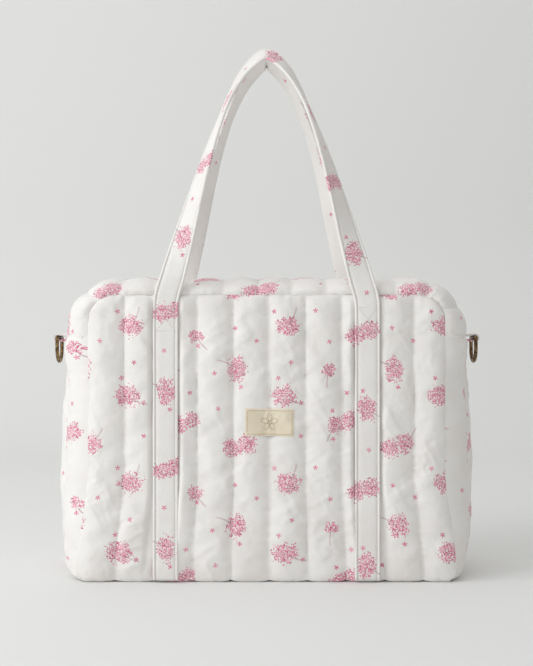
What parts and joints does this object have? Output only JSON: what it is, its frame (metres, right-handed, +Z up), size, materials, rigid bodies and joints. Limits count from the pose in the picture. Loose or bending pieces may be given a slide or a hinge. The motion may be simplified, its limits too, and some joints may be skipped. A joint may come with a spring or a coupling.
{
  "type": "diaper bag",
  "caption": "Quilted cotton diaper bag with a zipped top gusset, two tall carry handles sewn down as straps, a cloth label and side D-rings for a shoulder strap.",
  "frame": {"origin": "on the ground under the middle of the bag", "axes": "+Z up to the handles, +X to the bag's right seen from the front, -Y out of the front panel"},
  "size_m": [0.4602, 0.1634, 0.5642],
  "materials": {
    "printed_cotton": "quilted printed cotton",
    "strap_cotton": "folded printed cotton strap, topstitched",
    "wadding": "polyester wadding",
    "lining": "plain cotton lining",
    "elastic": "woven elastic",
    "label": "cotton tape label with a stitched border",
    "board": "stiff base board",
    "zip_tape": "woven zip tape",
    "zip_teeth": "nylon coil",
    "bronze": "antique brass"
  },
  "bodies": {
    "root": {"front_panel": "printed_cotton", "front_wadding": "wadding", "back_panel": "printed_cotton", "back_wadding": "wadding", "side_panel_left": "printed_cotton", "side_panel_right": "printed_cotton", "side_wadding_left": "wadding", "side_wadding_right": "wadding", "base_panel": "printed_cotton", "base_wadding": "wadding", "base_board": "board", "lining_front": "lining", "lining_back": "lining", "lining_gusset": "lining", "inner_pocket": "lining", "pocket_elastic": "elastic", "corner_strip_front_left": "printed_cotton", "corner_strip_front_right": "printed_cotton", "corner_strip_back_left": "printed_cotton", "corner_strip_back_right": "printed_cotton", "strap_front_left": "strap_cotton", "strap_front_right": "strap_cotton", "strap_back_left": "strap_cotton", "strap_back_right": "strap_cotton", "label": "label", "ring_tab_left": "strap_cotton", "ring_tab_right": "strap_cotton", "zip_tape_left": "zip_tape", "zip_tape_right": "zip_tape", "zip_teeth_left": "zip_teeth", "zip_teeth_right": "zip_teeth", "zip_end_left": "strap_cotton", "zip_end_right": "strap_cotton", "strip_edge_front": "printed_cotton", "strip_edge_back": "printed_cotton"},
    "top_front": {"top_strip_front": "printed_cotton", "zip_tape_front": "zip_tape", "zip_teeth_front": "zip_teeth"},
    "top_back": {"top_strip_back": "printed_cotton", "zip_tape_back": "zip_tape", "zip_teeth_back": "zip_teeth"},
    "slider_left": {"zip_slider_left": "bronze"},
    "slider_right": {"zip_slider_right": "bronze"},
    "pull_left": {"zip_pull_left": "bronze"},
    "pull_right": {"zip_pull_right": "bronze"},
    "handle_front": {"handle_front": "strap_cotton"},
    "handle_back": {"handle_back": "strap_cotton"},
    "d_ring_left": {"d_ring_left": "bronze"},
    "d_ring_right": {"d_ring_right": "bronze"}
  },
  "joints": [
    {"name": "top_front_fold", "type": "hinge", "parent": "root", "child": "top_front", "pos_m": [0, -0.068, 0.30427], "axis": [1, 0, 0], "range_deg": [0, 55]},
    {"name": "top_back_fold", "type": "hinge", "parent": "root", "child": "top_back", "pos_m": [0, 0.068, 0.30427], "axis": [-1, 0, 0], "range_deg": [0, 55]},
    {"name": "handle_front_fall", "type": "hinge", "parent": "root", "child": "handle_front", "pos_m": [0, -0.0813, 0.28915], "axis": [1, 0, 0], "range_deg": [0, 174]},
    {"name": "handle_back_fall", "type": "hinge", "parent": "root", "child": "handle_back", "pos_m": [0, 0.0813, 0.28915], "axis": [-1, 0, 0], "range_deg": [0, 174]},
    {"name": "slider_left_run", "type": "hinge", "parent": "root", "child": "slider_left", "pos_m": [-0.156, 0, 0.259], "axis": [0, 1, 0], "range_deg": [0, 75]},
    {"name": "pull_left_swing", "type": "hinge", "parent": "slider_left", "child": "pull_left", "pos_m": [-0.21363, 0, 0.2671], "axis": [0, 1, 0], "range_deg": [0, 165]},
    {"name": "d_ring_left_swing", "type": "hinge", "parent": "root", "child": "d_ring_left", "pos_m": [-0.2255, 0, 0.25], "axis": [0, 1, 0], "range_deg": [0, 165]},
    {"name": "slider_right_run", "type": "hinge", "parent": "root", "child": "slider_right", "pos_m": [0.156, 0, 0.259], "axis": [0, -1, 0], "range_deg": [0, 75]},
    {"name": "pull_right_swing", "type": "hinge", "parent": "slider_right", "child": "pull_right", "pos_m": [0.21363, 0, 0.2671], "axis": [0, -1, 0], "range_deg": [0, 165]},
    {"name": "d_ring_right_swing", "type": "hinge", "parent": "root", "child": "d_ring_right", "pos_m": [0.2255, 0, 0.25], "axis": [0, -1, 0], "range_deg": [0, 165]}
  ]
}
